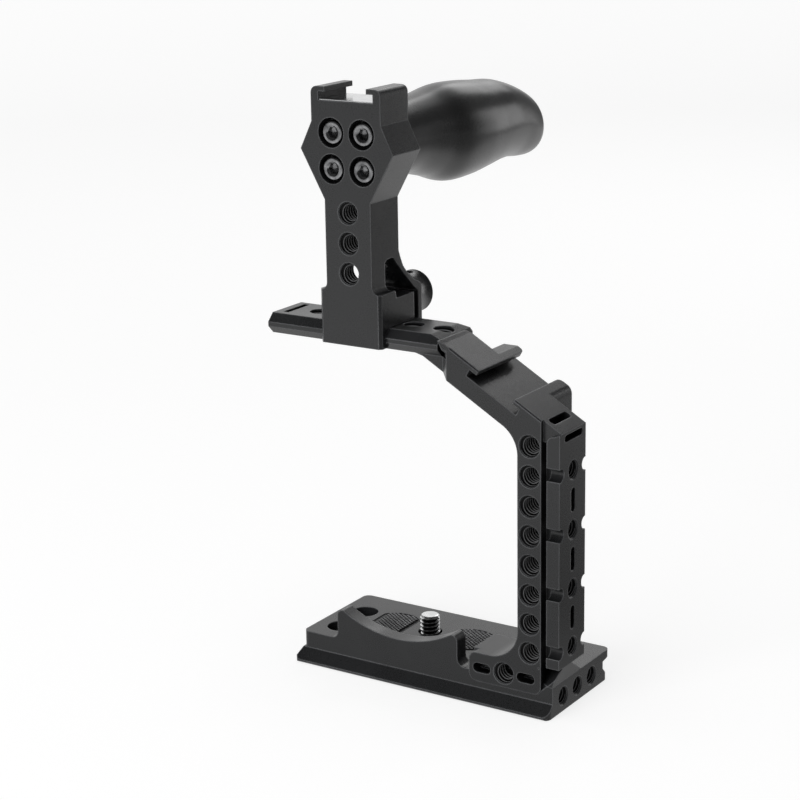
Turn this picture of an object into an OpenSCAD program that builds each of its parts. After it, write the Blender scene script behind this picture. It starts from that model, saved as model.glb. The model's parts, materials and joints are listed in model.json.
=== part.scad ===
// Half cage for a small camera: a dovetail base plate, a side arm that leans over the camera
// and ends in an accessory rail, and a grip on a post that clamps to the rail.
// +X runs along the plate towards the arm, +Y is the back, +Z is up.
// The origin is on the camera screw's axis at the plate's top face.

/* [Base plate] */
// Length of the plate along X
plate_l = 89.5; // [84:0.5:110]
// Distance from the camera screw to the plate's left end
plate_left = 35; // [33:0.5:40]
// Thickness of the plate from its top to the bottom of its foot
plate_t = 9.5; // [9:0.5:14]
// Width of the dovetail foot, front to back
foot_w = 38; // [38:0.5:42]
// Distance from the camera screw to the foot's front edge
foot_front = 22.8; // [22:0.2:24]
// Run and rise of the 45 degree dovetail faces
dovetail_run = 3.3; // [2.8:0.1:3.6]
// Height of the foot's upright edge
foot_edge_t = 0.9; // [0.6:0.1:1.4]
// How far the rear flange reaches behind the foot
flange_over = 1.4; // [0.6:0.2:3]
// Thickness of the rear flange at its edge
flange_t = 2.2; // [1.6:0.1:2.8]
// How far the foot reaches past the plate's left end
foot_over_l = 1.5; // [1:0.5:3]
// Height of the front lip at its ends
lip_h = 9.6; // [8:0.2:11]
// Thickness of the front lip, front to back
lip_t = 5; // [4:0.5:6]
// Half the length of the front lip
lip_half = 21.7; // [20:0.1:22.5]
// Height of the lip under the lens
lip_valley_h = 4.2; // [3:0.2:5]
// Radius of the lens cutout in the lip
lens_r = 38; // [35:0.5:42]
// Thickness of a rubber pad
pad_t = 1.4; // [1:0.1:2]
// How far a pad stands out of the plate
pad_proud = 0.3; // [0.1:0.1:0.5]

/* [Side arm] */
// Distance from the camera screw to the arm's inner face
arm_in = 42.7; // [42:0.1:44]
// Thickness of the arm along X
arm_w = 13.9; // [13.5:0.1:15]
// Depth of the arm, front to back
arm_d = 15.2; // [15:0.2:17]
// Height of the rail's underside above the plate
rail_z = 94.9; // [90:0.5:110]
// Height of the outer corner between the arm and the shoulder
corner_z = 77.5; // [74:0.5:80]
// Slope of the shoulder from level
shoulder_angle = 30; // [29:0.5:31]
// Thickness of the shoulder
shoulder_t = 9.1; // [8.8:0.1:10]
// Spacing of the threaded holes in the arm
hole_pitch = 9.05; // [8.8:0.05:9.2]
// Height of the arm's lowest threaded hole
hole_z = 9.45; // [9:0.1:10]
// Number of threaded holes in the arm's front
front_holes = 8; // [6:1:8]

/* [Rail and shoes] */
// Width of the rail over its widest edges
rail_w = 20; // [19.6:0.1:21.2]
// Thickness of the rail
rail_t = 6.3; // [6:0.1:6.6]
// Run of the rail's bevels
rail_bevel = 2.5; // [2.2:0.1:2.7]
// Distance from the camera screw to the rail's left end
rail_left = 44.6; // [42:0.2:50]
// Inner width of a cold shoe
shoe_w = 18.9; // [18.7:0.1:19.2]
// Opening between the lips of a cold shoe
shoe_gap = 14.4; // [13.5:0.1:15]
// Height of a shoe's channel under its lips
shoe_h = 2.2; // [2.1:0.1:2.4]
// Thickness of a shoe's lips
shoe_lip_t = 1.5; // [1.3:0.1:1.7]
// Length of the shoulder's shoe, front to back
shoe_l = 26.4; // [24:0.2:27]
// Opening between the lips of the shoulder's shoe
shoulder_gap = 13.6; // [13:0.1:14.4]

/* [Handle] */
// Distance from the camera screw to the handle's middle plane, to the left
handle_left = 12.8; // [11:0.2:16]
// Width of the clamp block
clamp_w = 21.6; // [21:0.2:23]
// Width of the post
post_w = 16; // [15.4:0.2:17]
// Depth of the post, front to back
post_d = 14.6; // [14.2:0.2:15.4]
// Height of the head's top above the plate
head_top = 171.8; // [168:0.5:180]
// Width of the head at its shoe
head_w = 24.1; // [23.6:0.1:25]
// Width of the head at its widest corners
head_corner_w = 32.2; // [31.6:0.2:34]
// Height of the head's widest corners below its top
head_corner_drop = 18.5; // [18:0.5:19.5]
// Spacing of the four grip screws
screw_pitch = 10.6; // [10.4:0.1:11]
// Length of the grip behind the head
grip_l = 89.6; // [85:0.2:100]
// Height of the grip at its fullest
grip_h = 29; // [27:0.5:32]
// Width of the grip at its fullest
grip_w = 27; // [25:0.5:30]
// Travel of the clamp jaw
jaw_travel = 2.4; // [1.8:0.1:2.4]
// Diameter of the clamp knob
knob_d = 13.2; // [12:0.2:14.4]
// Length of the clamp knob
knob_l = 8.6; // [6:0.2:9]

/* [Hidden] */
$fn = 64;
// Overrun of every cut past the face that it opens
cut = 1;
// Clearance of a sliding fit on each side
slide_gap = 0.15;
// Clearance of a shaft in its bore, on the radius
run_gap = 0.05;
// Gap kept between neighbours that don't bear on each other
free_gap = 0.3;
// Radius of a quarter inch thread, and of the countersink at its mouth
quarter_r = 3.175;
quarter_sink_r = 3.5;
sink_depth = 0.4;
// Radius of the smaller threads in the side and end faces
small_r = 2.6;
small_sink_r = 3;

// Base plate, derived
plate_x0 = -plate_left;
plate_x1 = plate_l - plate_left;
foot_z = -plate_t;
foot_y0 = -foot_front;
foot_y1 = foot_w - foot_front;
body_y0 = foot_y0 + dovetail_run;
groove_y = foot_y1 - dovetail_run;
flange_y = foot_y1 + flange_over;
slant_z0 = foot_z + foot_edge_t;
slant_z1 = slant_z0 + dovetail_run;
foot_chamfer = 0.4;
flange_slope = 0.8;
plan_r = 2.2;
joint_overlap = 0.5;
lip_corner_r = 2;
lip_foot_r = 2.4;
accessory_r = 4.2;
accessory_x = -26.8;
accessory_ys = [3.6, -10.6];
screw_hole_r = 3.8;
screw_recess_r = 7.2;
screw_recess_d = 4.5;
pad_x = 13.8;
pad_r = 8.6;
pad_half = 6.7;
pad_gap = 0.1;

// Camera screw, derived
thread_h = 5.7;
screw_tip = 0.7;
washer_t = 0.8;
washer_r = 6.4;
screw_neck_r = 2.6;
screw_head_r = 6.6;
screw_head_h = 2.6;
coin_w = 1.5;
coin_d = 1.3;

// Side arm, derived
arm_out = arm_in + arm_w;
arm_proud = 0.3;
arm_y0 = body_y0 - arm_proud;
arm_y1 = body_y0 + arm_d;
strip_w = 7.8;
strip_x1 = arm_in + strip_w;
groove_w = 1.8;
groove_d = 2.8;
pocket_d = 1.3;
column_x = strip_x1 + groove_w;
column_r = 2.2;
column_drop = 3;
column_z = corner_z - column_drop;
arm_foot_l = 16.7;
arm_foot_x0 = arm_in - arm_foot_l;
arm_foot_h = 6;
apron_h = 3.2;
apron_t = 3.3;
apron_r = 2.4;
foot_fillet_r = 9.6;
knee_r = 10;
fillet_ease = 0.02;
taper_z = 0.2;
facet_drop = 1.8;
toe_over = 2;
toe_y1 = arm_y1 + toe_over;
toe_run = 9.7;
slope_cos = cos(shoulder_angle);
slope_sin = sin(shoulder_angle);
slope_tan = tan(shoulder_angle);
rail_top = rail_z + rail_t;
top_join_x = arm_out - (rail_top - corner_z) / slope_tan;
under_drop = shoulder_t / slope_cos;
under_join_x = arm_out - (rail_z + under_drop - corner_z) / slope_tan;
knee_z = corner_z + arm_w * slope_tan - under_drop;
run_l = 10.8;
run_x = under_join_x + run_l;
hole_x = arm_in + strip_w / 2;
side_rise = 1.6;
side_z = hole_z + side_rise;
side_y = -11.7;
side_depth = 5.5;
side_step = 2 * hole_pitch;
side_holes = front_holes / 2;
side_slot_l = 7.3;
side_slot_w = 2.6;
notch_r = 2;
notch_over = 0.4;
strap_l = 10.8;
strap_w = 2.5;
strap_side_w = 2.1;
strap_y = -11.6;
strap_u = 5.2;
strap_drop = 1.85;
strap_depth = 5.5;
strap_side_depth = 7;
foot_hole_dx = 11.9;
foot_hole_x = arm_foot_x0 + foot_hole_dx;
foot_hole_z = 1.2;
foot_slot_dx = 7.5;
foot_slot_l = 6;
foot_slot_h = 3;
foot_slot_d = 5;
foot_hole_d = 7;
end_y0 = -13.15;
end_pitch = 8.82;
end_rise = 4.74;
end_z = foot_z + end_rise;
end_depth = 7;
arm_screw_foot_dx = 4.5;
arm_screw_arm_dx = 0.8;
arm_screw_xs = [arm_foot_x0 + arm_screw_foot_dx, arm_in + arm_screw_arm_dx];
arm_screw_y = -9;
m4_r = 2;
m4_head_r = 3.5;
m4_head_h = 4;
m4_hex_r = 1.73;
m4_hex_d = 2.2;
m4_clear = 0.15;
arm_screw_grip = 4.6;
arm_recess_d = 4.3;

// Rail and shoes, derived
rail_y0 = body_y0;
rail_y1 = rail_y0 + rail_w;
rail_land = 1.4;
land_z1 = rail_top - rail_bevel;
land_z0 = land_z1 - rail_land;
rail_under = land_z0 - rail_z;
rail_hole_y = -9.3;
rail_hole_dxs = [-40.6, -6.6, 3.7];
rail_slot_dx = 3.5;
rail_slot_x = -rail_left + rail_slot_dx;
rail_slot_l = 11.4;
rail_slot_w = 2;
rail_slot_d = 2.4;
shoe_u = 23.9;
shoe_depth = shoe_h + shoe_lip_t;
bend_run = 3.2;
bend_end = 0.4;
ear_low_l = 33.7;
ear_high_l = 10.6;
ear_bevel_l = 4.7;
ear_low_x = arm_out - ear_low_l;
ear_high_x = arm_out - ear_high_l;
ear_bevel_x = ear_low_x + ear_bevel_l;
ear_r = 3;
ear_step = 0.5;
lip_end_r = 1.8;
lip_end_turn = 22.5;
edge_chamfer = 0.5;
front_edge_l = 42;

// Handle, derived
handle_x = -handle_left;
jaw_wall = 2.3;
post_y0 = rail_y0 - jaw_wall;
post_y1 = post_y0 + post_d;
clamp_rise = 0.6;
clamp_z0 = rail_z + clamp_rise;
block_rise = 8.3;
block_z1 = rail_top + block_rise;
step_rise = 2.3;
step_run = 0.6;
step_d = 8.2;
step_z1 = block_z1 + step_rise;
step_y = post_y0 + step_d;
block_d = 18.3;
block_y1 = post_y0 + block_d;
wall_room = 2.8;
wall_y0 = rail_y1 + wall_room;
wall_t = 1.9;
wall_y1 = wall_y0 + wall_t;
wall_rise = 1.1;
wall_z0 = rail_z + wall_rise;
wall_over = 0.4;
wall_z1 = block_z1 + wall_over;
window_d = 7.1;
window_y0 = post_y0 + window_d;
window_rise = 11.5;
window_z1 = block_z1 + window_rise;
window_r = 2;
web_toe = 1.6;
web_run = wall_y1 - post_y1;
web_rise = window_z1 - wall_z1;
// The web's outer and inner edges, as shares of its run to the back and of its rise
web_outer_share = [
    [0, 1.144], [0.065, 0.955], [0.185, 0.685], [0.347, 0.486], [0.653, 0.216],
    [0.871, 0.108], [0.96, 0.063], [1, 0]
];
web_inner_share = [[0.653, 0.018], [0.153, 0.532], [-0.113, 0.82], [-0.234, 0.982], [-0.323, 1]];
neck_r = 2.2;
clamp_edge = 0.9;
diag = sqrt(2);
hook_gap = slide_gap * (diag - 1);
head_z1 = head_top;
head_corner_z = head_z1 - head_corner_drop;
head_side_rise = 8.2;
head_side_z = head_corner_z + head_side_rise;
head_neck_drop = 14.5;
head_neck_z = head_corner_z - head_neck_drop;
head_edge_r = 2;
screw_drop = 0.1;
screw_z = head_corner_z - screw_drop;
counter_r = 4.4;
counter_over = 0.6;
counter_d = m4_head_h + counter_over;
post_hole_rise = 5.4;
post_hole_z = step_z1 + post_hole_rise;
post_holes = 3;
shoe_plate_t = 0.3;
shoe_plate_gap = 0.15;
head_floor = head_z1 - shoe_depth - shoe_plate_t;

// Clamp, derived
knob_rise = 4.1;
knob_z = rail_top + knob_rise;
notch_half = 6.2;
notch_rise = 0.8;
notch_z1 = rail_top + notch_rise;
jaw_half = notch_half - free_gap;
jaw_plate_y0 = block_y1 + free_gap;
jaw_plate_y1 = wall_y0 - jaw_travel - slide_gap;
jaw_plate_z1 = wall_z1 - web_toe - free_gap;
jaw_hook_y1 = wall_y1 - free_gap;
jaw_hook_z1 = notch_z1 - free_gap;
jaw_z0 = rail_z + free_gap;
stud_r = 2.5;
stud_neck_r = 2;
clip_r = 3;
clip_t = 0.6;
clip_pocket_r = 3.4;
clip_pocket_d = 1;
pin_r = 0.8;
pin_x = 4.4;
pin_rise = 2.4;
pin_z = rail_top + pin_rise;
pin_sink = 5.5;
knob_gap = 0.7;
knob_y0 = wall_y1 + knob_gap;
knob_bore = 6;
knob_chamfer = 0.6;
grub_r = 1.5;
grub_l = 3.4;

// Grip, derived
insert_r = 2.6;
core_wall = 0.3;
core_flat_wall = 0.8;
core_r = screw_pitch / 2 * diag + insert_r + core_wall;
core_flat = screw_pitch / 2 + insert_r + core_flat_wall;
core_l = 64;
core_nose = 8;
insert_l = 8;
grip_screw_l = 18;
grip_sides = 36;
grip_steps = 2;
grip_rise = grip_h / 2;
grip_side = grip_w / 2;
// Each row holds a place along the grip, the centre's height, the half height and the half width
grip_share = [
    [0, 0.021, 0.752, 0.837], [0.06, 0.034, 0.755, 0.837], [0.16, 0.041, 0.779, 0.859],
    [0.28, -0.007, 0.887, 0.919], [0.4, -0.071, 1.039, 1.007], [0.52, -0.088, 1.034, 1.015],
    [0.63, -0.088, 0.97, 0.97], [0.73, -0.08, 0.908, 0.919], [0.82, -0.139, 0.835, 0.852],
    [0.9, -0.251, 0.773, 0.785], [0.955, -0.345, 0.69, 0.704], [0.985, -0.44, 0.531, 0.541],
    [1, -0.503, 0.269, 0.281]
];

// A box between two corners
module box(low, high) {
    translate(low) cube(high - low);
}

// A cylinder along Y from y0 to y1
module rod_y(x, z, r, y0, y1, sides = 64) {
    translate([x, y0, z]) rotate([-90, 0, 0]) cylinder(r = r, h = y1 - y0, $fn = sides);
}

// A cylinder along X from x0 to x1
module rod_x(y, z, r, x0, x1) {
    translate([x0, y, z]) rotate([0, 90, 0]) cylinder(r = r, h = x1 - x0);
}

// A plan of points in y and z, extruded along X
module along_x(x0, x1, points) {
    translate([x0, 0, 0]) rotate([90, 0, 90]) linear_extrude(x1 - x0) polygon(points);
}

// A side view of points in x and z, extruded along Y
module along_y(y0, y1, points) {
    translate([0, y1, 0]) rotate([90, 0, 0]) linear_extrude(y1 - y0) polygon(points);
}

// A box with its four upright edges rounded
module plan_box(low, high, r) {
    box([low.x + r, low.y, low.z], [high.x - r, high.y, high.z]);
    box([low.x, low.y + r, low.z], [high.x, high.y - r, high.z]);
    for (x = [low.x + r, high.x - r], y = [low.y + r, high.y - r])
        translate([x, y, low.z]) cylinder(r = r, h = high.z - low.z);
}

// A box with the four edges along Y rounded
module front_box(low, high, r) {
    box([low.x + r, low.y, low.z], [high.x - r, high.y, high.z]);
    box([low.x, low.y, low.z + r], [high.x, high.y, high.z - r]);
    for (x = [low.x + r, high.x - r], z = [low.z + r, high.z - r])
        rod_y(x, z, r, low.y, high.y);
}

// A threaded hole from the front, with a countersunk mouth
module front_hole(x, z, y0, depth, r = quarter_r, sink_r = quarter_sink_r) {
    rod_y(x, z, r, y0 - cut, y0 + depth);
    translate([x, y0, z]) rotate([-90, 0, 0])
        cylinder(r1 = sink_r, r2 = r, h = sink_depth);
    rod_y(x, z, sink_r, y0 - cut, y0);
}

// A threaded hole from the right, with a countersunk mouth
module side_hole(y, z, x1, depth) {
    rod_x(y, z, small_r, x1 - depth, x1 + cut);
    translate([x1 - sink_depth, y, z]) rotate([0, 90, 0])
        cylinder(r1 = small_r, r2 = small_sink_r, h = sink_depth);
    rod_x(y, z, small_sink_r, x1, x1 + cut);
}

// A slot with round ends cut into the front
module front_slot(x, z, l, h, y0, depth) {
    box([x - (l - h) / 2, y0 - cut, z - h / 2], [x + (l - h) / 2, y0 + depth, z + h / 2]);
    for (side = [-1, 1])
        rod_y(x + side * (l - h) / 2, z, h / 2, y0 - cut, y0 + depth);
}

// The mouths in the arm's foot, which run on into the plate behind its apron
module foot_mouths() {
    front_hole(foot_hole_x, foot_hole_z, arm_y0, foot_hole_d);
    for (side = [-1, 1])
        front_slot(foot_hole_x + side * foot_slot_dx, foot_hole_z, foot_slot_l, foot_slot_h,
            arm_y0, foot_slot_d);
}

// The arm's apron, which hangs in a pocket in the plate's front
module apron() {
    front_box([arm_foot_x0, arm_y0, -apron_h], [strip_x1, body_y0 + apron_t, arm_foot_h], apron_r);
}

// The front lip with the lens cutout
module lip() {
    difference() {
        union() {
            box([-lip_half, body_y0, -joint_overlap], [lip_half, body_y0 + lip_t, lip_h - lip_corner_r]);
            box([-lip_half + lip_corner_r, body_y0, 0], [lip_half - lip_corner_r, body_y0 + lip_t, lip_h]);
            for (side = [-1, 1])
                rod_y(side * (lip_half - lip_corner_r), lip_h - lip_corner_r, lip_corner_r,
                    body_y0, body_y0 + lip_t);
        }
        rod_y(0, lip_valley_h + lens_r, lens_r, body_y0 - cut, body_y0 + lip_t + cut, 128);
    }
    for (side = [-1, 1])
        difference() {
            box([min(side * lip_half, side * (lip_half + lip_foot_r)), body_y0, -joint_overlap],
                [max(side * lip_half, side * (lip_half + lip_foot_r)), body_y0 + lip_t, lip_foot_r]);
            rod_y(side * (lip_half + lip_foot_r), lip_foot_r, lip_foot_r,
                body_y0 - cut, body_y0 + lip_t + cut);
        }
}

// A pad's outline: a disc with its left and right sides cut straight
module pad_shape(side, gap, z0, z1) {
    intersection() {
        translate([side * pad_x, 0, z0]) cylinder(r = pad_r - gap, h = z1 - z0);
        box([side * pad_x - pad_half + gap, -pad_r, z0], [side * pad_x + pad_half - gap, pad_r, z1]);
    }
}

module base_plate() {
    foot = [
        [foot_y0 + foot_chamfer, foot_z], [foot_y0, foot_z + foot_chamfer], [foot_y0, slant_z0],
        [body_y0, slant_z1], [groove_y, slant_z1], [foot_y1, slant_z0],
        [foot_y1, foot_z + foot_chamfer], [foot_y1 - foot_chamfer, foot_z]
    ];
    body = [
        [body_y0, slant_z1 - joint_overlap], [body_y0, 0], [flange_y, 0], [flange_y, -flange_t],
        [groove_y, -flange_t - flange_slope], [groove_y, slant_z1 - joint_overlap]
    ];
    ends = [
        [plate_x0 - foot_over_l, foot_z], [plate_x1, foot_z], [plate_x1, slant_z1],
        [plate_x0, slant_z1], [plate_x0 - foot_over_l, slant_z0]
    ];
    color("#2b2c2e") difference() {
        union() {
            intersection() {
                along_x(plate_x0 - foot_over_l, plate_x1, foot);
                along_y(foot_y0, foot_y1, ends);
                plan_box([plate_x0 - foot_over_l, foot_y0, foot_z], [plate_x1, foot_y1, 0], plan_r);
            }
            intersection() {
                along_x(plate_x0, plate_x1, body);
                union() {
                    plan_box([plate_x0, body_y0, foot_z], [plate_x1, flange_y, 0], plan_r);
                    box([plate_x1 - 2 * plan_r, body_y0, foot_z], [plate_x1, body_y0 + 2 * plan_r, 0]);
                }
            }
            lip();
        }
        apron();
        foot_mouths();
        corner_facet();
        for (side = [-1, 1])
            pad_shape(side, 0, pad_proud - pad_t, cut);
        for (y = accessory_ys)
            translate([accessory_x, y, foot_z - cut]) cylinder(r = accessory_r, h = plate_t + 2 * cut);
        translate([0, 0, foot_z - cut]) cylinder(r = screw_hole_r, h = plate_t + 2 * cut);
        translate([0, 0, foot_z - cut]) cylinder(r = screw_recess_r, h = screw_recess_d + cut);
        for (i = [0:2])
            side_hole(end_y0 + i * end_pitch, end_z, plate_x1, end_depth);
        for (x = arm_screw_xs) {
            translate([x, arm_screw_y, foot_z - cut])
                cylinder(r = m4_r + m4_clear, h = plate_t + 2 * cut);
            translate([x, arm_screw_y, foot_z - cut])
                cylinder(r = m4_head_r + m4_clear, h = arm_recess_d + cut);
        }
    }
}

module pad_left() {
    color("#1b1b1c") pad_shape(-1, pad_gap, pad_proud - pad_t, pad_proud);
}

module pad_right() {
    color("#1b1b1c") pad_shape(1, pad_gap, pad_proud - pad_t, pad_proud);
}

// What the corner facet under the arm's outer column takes away: all that lies in front of and
// over a plane that leans alike to all three axes
module corner_facet() {
    intersection() {
        box([strip_x1, foot_y0 - cut, slant_z1], [arm_out + cut, arm_y1, arm_foot_h]);
        translate([strip_x1, body_y0, -facet_drop]) rotate([0, acos(1 / sqrt(3)), 225])
            box([-arm_foot_l, -arm_foot_l, 0], [arm_foot_l, arm_foot_l, arm_foot_l]);
    }
}

// The arm's toe, which widens from the plate's end to the outer face and slopes away at the back
module toe() {
    intersection() {
        along_y(arm_y0, toe_y1, [
            [strip_x1 - joint_overlap, 0], [plate_x1, 0], [plate_x1, taper_z], [arm_out, arm_foot_h],
            [strip_x1 - joint_overlap, arm_foot_h]
        ]);
        along_x(strip_x1 - 2 * joint_overlap, arm_out, [
            [arm_y0, 0], [toe_y1, 0], [toe_y1 - toe_run, arm_foot_h], [arm_y0, arm_foot_h]
        ]);
    }
}

// Puts its children in the shoulder's own axes: x runs down the slope and ends at the outer
// corner, and z stands square to the top face
module on_slope() {
    translate([arm_out, 0, corner_z]) rotate([0, shoulder_angle, 0]) children();
}

// A cold shoe's channel, centred on x = 0, with its floor at z = 0
module shoe_channel(y0, y1, gap, extra = 0) {
    box([-shoe_w / 2, y0 - cut, 0], [shoe_w / 2, y1 + cut, shoe_h + extra]);
    box([-gap / 2, y0 - cut, 0], [gap / 2, y1 + cut, shoe_depth + extra + cut]);
}

// The height of the shoulder's top face at x
function slope_z(x) = corner_z + (arm_out - x) * slope_tan;

// The rounded far corner of a lip of the shoulder's shoe, as the wedge to cut away
module lip_end(side) {
    y = body_y0 + shoe_l - lip_end_r;
    round = [
        for (a = [0:lip_end_turn:90 - lip_end_turn])
            [side * lip_end_r * (1 - cos(a)), y + lip_end_r * sin(a)]
    ];
    outside = [
        [side * lip_end_r * 1.5, y + lip_end_r * 1.1], [side * lip_end_r * 1.5, y + lip_end_r + cut],
        [-side * cut, y + lip_end_r + cut], [-side * cut, y]
    ];
    translate([-shoe_u + side * shoulder_gap / 2, 0, -shoe_depth])
        linear_extrude(shoe_depth + cut) polygon(concat(round, outside));
}

// The rail's section: a flat top, bevels out to a narrow land, and bevels in below
function rail_section() = [
    [rail_y0 + rail_under, rail_z], [rail_y0, land_z0], [rail_y0, land_z1],
    [rail_y0 + rail_bevel, rail_top], [rail_y1 - rail_bevel, rail_top], [rail_y1, land_z1],
    [rail_y1, land_z0], [rail_y1 - rail_under, rail_z]
];

// What the cutter of the rail's lower front bevel takes out of the shoulder, up to its run-out
module bevel_runout() {
    intersection() {
        along_x(under_join_x - knee_r, run_x + cut, [
            [arm_y0 - cut, land_z0 + arm_proud + cut], [rail_y0 + rail_under, rail_z],
            [rail_y0 + rail_under, rail_z - rail_t], [arm_y0 - cut, rail_z - rail_t]
        ]);
        translate([0, 0, rail_z - rail_t]) linear_extrude(2 * rail_t) polygon([
            [under_join_x - knee_r, arm_y0 - cut], [run_x + cut, arm_y0 - cut],
            [run_x - rail_under - arm_proud, rail_y0 + rail_under],
            [under_join_x - knee_r, rail_y0 + rail_under]
        ]);
    }
}

module side_arm() {
    knee_leg = knee_r / tan((90 + shoulder_angle) / 2);
    under_leg = knee_r * tan(shoulder_angle / 2) / 2;
    ear_leg = ear_r * tan((90 - shoulder_angle) / 2);
    ear_z = slope_z(ear_high_x);
    ear_round_x = ear_high_x - ear_leg * slope_cos;
    outline = [
        [top_join_x, rail_top], [arm_out, rail_top], [arm_out, arm_foot_h],
        [strip_x1, arm_foot_h], [strip_x1, arm_foot_h - joint_overlap], [arm_in, arm_foot_h - joint_overlap],
        [arm_in, knee_z],
        [under_join_x + under_leg * slope_cos, rail_z - under_leg * slope_sin],
        [under_join_x - under_leg, rail_z], [run_x, rail_z]
    ];
    color("#2b2c2e") difference() {
        union() {
            along_y(arm_y0, arm_y1, outline);
            toe();
            front_box([arm_foot_x0, arm_y0, -apron_h], [strip_x1, body_y0 + apron_t, arm_foot_h], apron_r);
            box([arm_foot_x0, body_y0 + apron_t - joint_overlap, 0], [strip_x1, arm_y1, arm_foot_h]);
            difference() {
                box([arm_in - foot_fillet_r, arm_y0, arm_foot_h - joint_overlap],
                    [arm_in + joint_overlap, arm_y1, arm_foot_h + foot_fillet_r]);
                rod_y(arm_in - foot_fillet_r, arm_foot_h + foot_fillet_r, foot_fillet_r,
                    arm_y0 - cut, arm_y1 + cut);
            }
            difference() {
                along_y(arm_y0, arm_y1, [
                    [arm_in + joint_overlap, knee_z], [arm_in, knee_z - knee_leg],
                    [arm_in - knee_leg * slope_cos, knee_z + knee_leg * slope_sin]
                ]);
                rod_y(arm_in - knee_r, knee_z - knee_leg, knee_r + fillet_ease, arm_y0 - cut, arm_y1 + cut);
            }
            along_x(-rail_left, top_join_x + bend_end, rail_section());
            along_y(arm_y1 - joint_overlap, body_y0 + shoe_l, [
                [ear_low_x, slope_z(ear_low_x) - under_drop + ear_step], [ear_low_x, slope_z(ear_bevel_x)],
                [ear_high_x, slope_z(ear_bevel_x)],
                [ear_high_x, slope_z(ear_high_x) - under_drop + ear_step]
            ]);
        }
        bevel_runout();
        on_slope() box([-plate_l, -plate_l, 0], [plate_l, plate_l, plate_l]);
        translate([top_join_x - bend_run, 0, rail_top]) rotate([0, shoulder_angle / 2, 0])
            box([-cut, -plate_l, 0], [plate_l, plate_l, plate_l]);
        on_slope() translate([-shoe_u, 0, -shoe_depth])
            shoe_channel(arm_y0, body_y0 + shoe_l, shoulder_gap);
        on_slope() for (side = [-1, 1])
            lip_end(side);
        difference() {
            along_y(arm_y1, body_y0 + shoe_l + cut, [
                [ear_high_x, ear_z - ear_leg], [ear_high_x + cut, ear_z - ear_leg],
                [ear_high_x + cut, ear_z + cut], [ear_round_x, ear_z + ear_leg + cut],
                [ear_round_x, ear_z + ear_leg * slope_sin]
            ]);
            rod_y(ear_high_x - ear_r, ear_z - ear_leg, ear_r, arm_y1 - cut, body_y0 + shoe_l + 2 * cut);
        }
        for (i = [0:front_holes - 1])
            front_hole(hole_x, hole_z + i * hole_pitch, arm_y0, arm_y1 - arm_y0 + cut);
        foot_mouths();
        corner_facet();
        box([strip_x1, arm_y0 - cut, arm_foot_h], [column_x, body_y0 + groove_d, column_z]);
        difference() {
            along_y(arm_y0 - cut, arm_y0 + pocket_d, [
                [strip_x1, column_z], [strip_x1, slope_z(strip_x1) + cut], [arm_out, corner_z + cut],
                [arm_out, corner_z],
                [column_x + column_r, column_z + column_r], [column_x + column_r, column_z]
            ]);
            rod_y(column_x + column_r, column_z, column_r, arm_y0 - 2 * cut, arm_y0 + pocket_d + cut);
        }
        on_slope() translate([0, arm_y0, 0]) rotate([45, 0, 0])
            box([-front_edge_l, -cut, -edge_chamfer / diag], [strip_x1 - arm_out, cut, cut]);
        for (i = [0:side_holes - 1]) {
            z = side_z + i * side_step;
            side_hole(side_y, z, arm_out, side_depth);
            rod_x(body_y0 + notch_over, z, notch_r, strip_x1, arm_out + cut);
            rod_x(arm_y1 - notch_over / 2, z, notch_r, strip_x1 + groove_w, arm_out + cut);
        }
        for (i = [0:side_holes - 2])
            translate([arm_out - side_depth, side_y, side_z + (i + 0.5) * side_step])
                rotate([0, 90, 0]) strap_slot(side_slot_l, side_slot_w, side_depth + cut);
        on_slope() translate([-strap_u, strap_y, -strap_depth]) rotate([0, 0, 90])
            strap_slot(strap_l, strap_w, strap_depth + cut);
        translate([arm_out - strap_side_depth, strap_y, corner_z - strap_drop]) rotate([0, 90, 0])
            rotate([0, 0, 90]) strap_slot(strap_l, strap_side_w, strap_side_depth + cut);
        for (dx = rail_hole_dxs)
            translate([under_join_x + dx, rail_hole_y, rail_z - rail_t])
                cylinder(r = quarter_r, h = 2 * rail_t + cut);
        box([rail_slot_x - rail_slot_w / 2, rail_hole_y - rail_slot_l / 2, rail_top - rail_slot_d],
            [rail_slot_x + rail_slot_w / 2, rail_hole_y + rail_slot_l / 2, rail_top + cut]);
        for (x = arm_screw_xs)
            translate([x, arm_screw_y, -cut]) cylinder(r = m4_r + run_gap, h = arm_screw_grip + cut);
    }
}

// A slot with round ends, standing on its floor and centred on its middle
module strap_slot(l, w, h) {
    translate([-(l - w) / 2, -w / 2, 0]) cube([l - w, w, h]);
    for (side = [-1, 1])
        translate([side * (l - w) / 2, 0, 0]) cylinder(r = w / 2, h = h);
}

// A socket cap screw along +Z, with its head's seat at z = 0 and its head below
module cap_screw(shank) {
    difference() {
        union() {
            translate([0, 0, -m4_head_h]) cylinder(r = m4_head_r, h = m4_head_h);
            cylinder(r = m4_r, h = shank);
        }
        translate([0, 0, -m4_head_h - cut]) cylinder(r = m4_hex_r, h = m4_hex_d + cut, $fn = 6);
    }
}

module arm_screws() {
    seat = foot_z + arm_recess_d;
    color("#3a3b3d") for (x = arm_screw_xs)
        translate([x, arm_screw_y, seat]) cap_screw(arm_screw_grip - seat - free_gap);
}

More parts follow.
